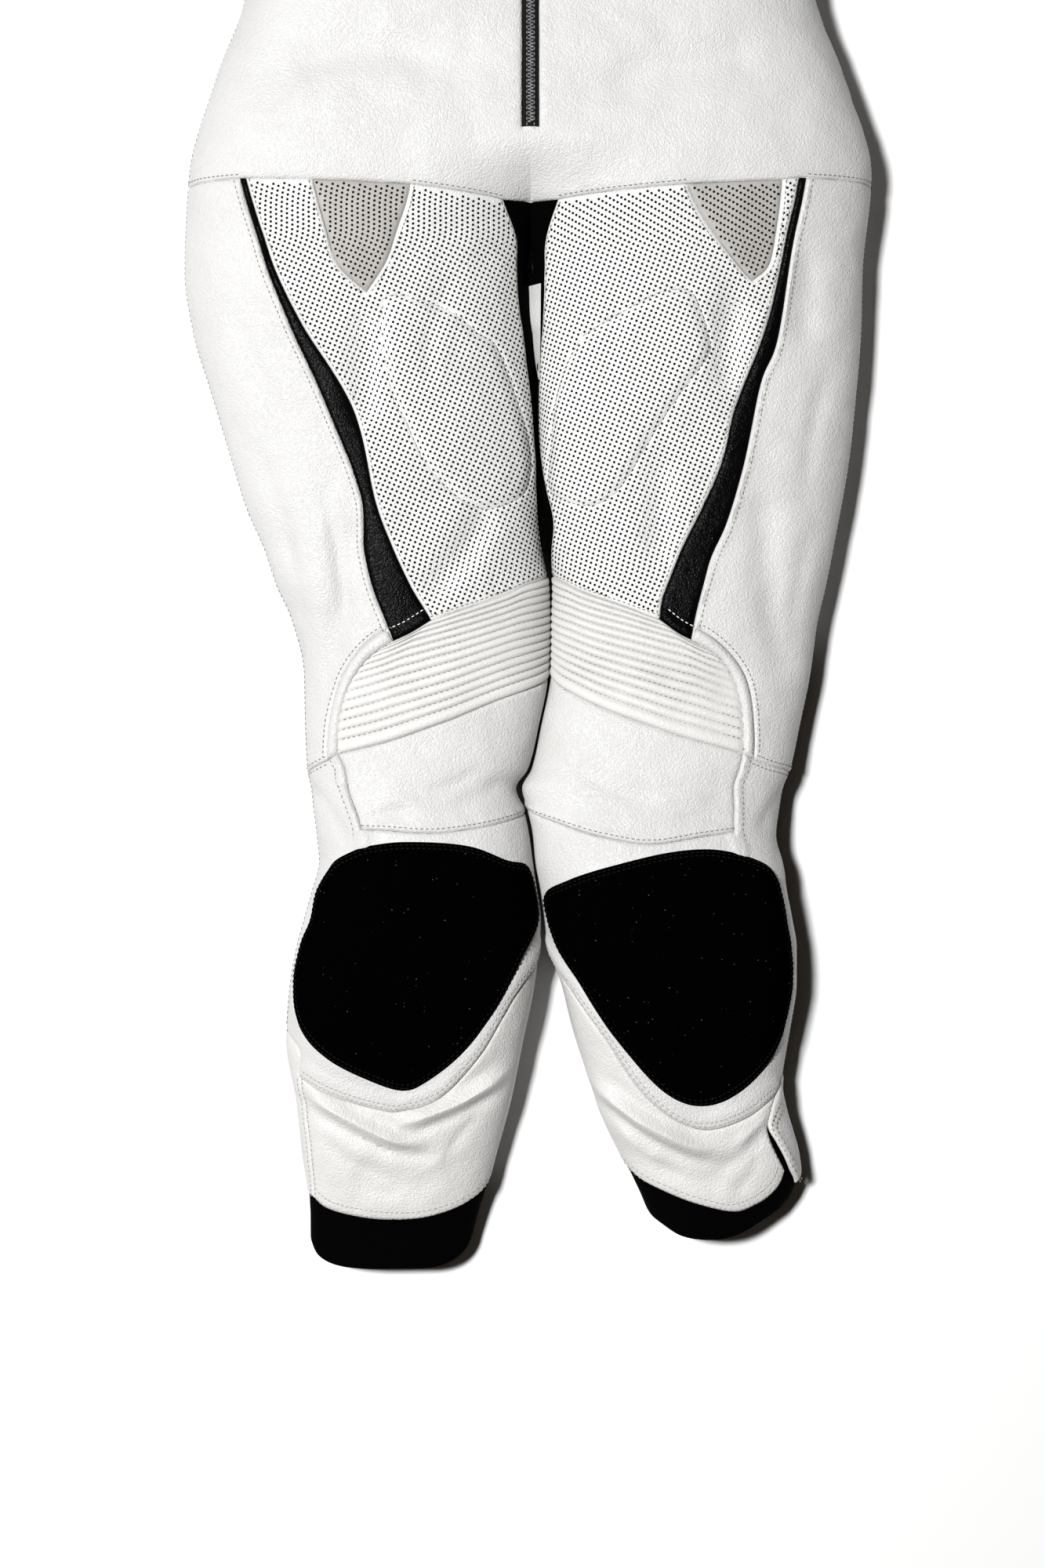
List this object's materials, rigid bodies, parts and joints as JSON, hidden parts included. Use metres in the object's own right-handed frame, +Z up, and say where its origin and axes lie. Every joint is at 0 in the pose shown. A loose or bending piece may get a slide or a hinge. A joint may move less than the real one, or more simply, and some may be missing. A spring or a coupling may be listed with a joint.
{
  "type": "motorcycle race suit",
  "caption": "One-piece white leather motorcycle race suit, filled out and lying face up: ribbed panels over black knee patches, a front zip with a pull tab, open neck and cuffs.",
  "frame": {"origin": "on the surface that the suit lies on, under the middle of its box", "axes": "+X to the suit's left side, +Y towards the collar, +Z up from the surface, out of the suit's front"},
  "size_m": [1.4228, 1.5341, 0.105],
  "materials": {
    "white leather": "satin, fine pebbled grain",
    "black leather": "satin, grained",
    "grey leather": "matte, perforated",
    "black stretch": "matte stretch weave",
    "black loop": "matte loop pile",
    "zip tape": "woven tape",
    "dark metal": "dark, semi-gloss"
  },
  "bodies": {
    "suit": {"right_outer_thigh": "white leather", "right_stripe": "black leather", "right_rib_band": "white leather", "right_hip_insert": "grey leather", "right_thigh_front": "white leather", "right_inner_stretch": "black stretch", "right_rib_panel": "white leather", "right_knee_upper": "white leather", "right_knee_panel": "white leather", "right_knee_patch": "black loop", "right_shin": "white leather", "right_ankle_strip": "white leather", "right_ankle_cuff": "black stretch", "right_back_thigh": "white leather", "right_back_knee": "black stretch", "right_calf": "black stretch", "right_hip_front": "white leather", "right_chest": "white leather", "right_seat": "white leather", "right_back": "white leather", "right_sleeve_upper": "white leather", "right_sleeve_under": "black stretch", "right_sleeve_cuff": "black stretch", "left_outer_thigh": "white leather", "left_stripe": "black leather", "left_rib_band": "white leather", "left_hip_insert": "grey leather", "left_thigh_front": "white leather", "left_inner_stretch": "black stretch", "left_rib_panel": "white leather", "left_knee_upper": "white leather", "left_knee_panel": "white leather", "left_knee_patch": "black loop", "left_shin": "white leather", "left_ankle_strip": "white leather", "left_ankle_cuff": "black stretch", "left_back_thigh": "white leather", "left_back_knee": "black stretch", "left_calf": "black stretch", "left_hip_front": "white leather", "left_chest": "white leather", "left_seat": "white leather", "left_back": "white leather", "left_sleeve_upper": "white leather", "left_sleeve_under": "black stretch", "left_sleeve_cuff": "black stretch", "collar": "black leather", "front_zip": "zip tape", "zip_slider": "dark metal"},
    "zip_pull": {"zip_pull_tab": "dark metal"}
  },
  "joints": [
    {"name": "pull_tab", "type": "hinge", "parent": "suit", "child": "zip_pull", "pos_m": [0, 0.66105, 0.10209], "axis": [-1, 0, 0], "range_deg": [0, 150]}
  ]
}
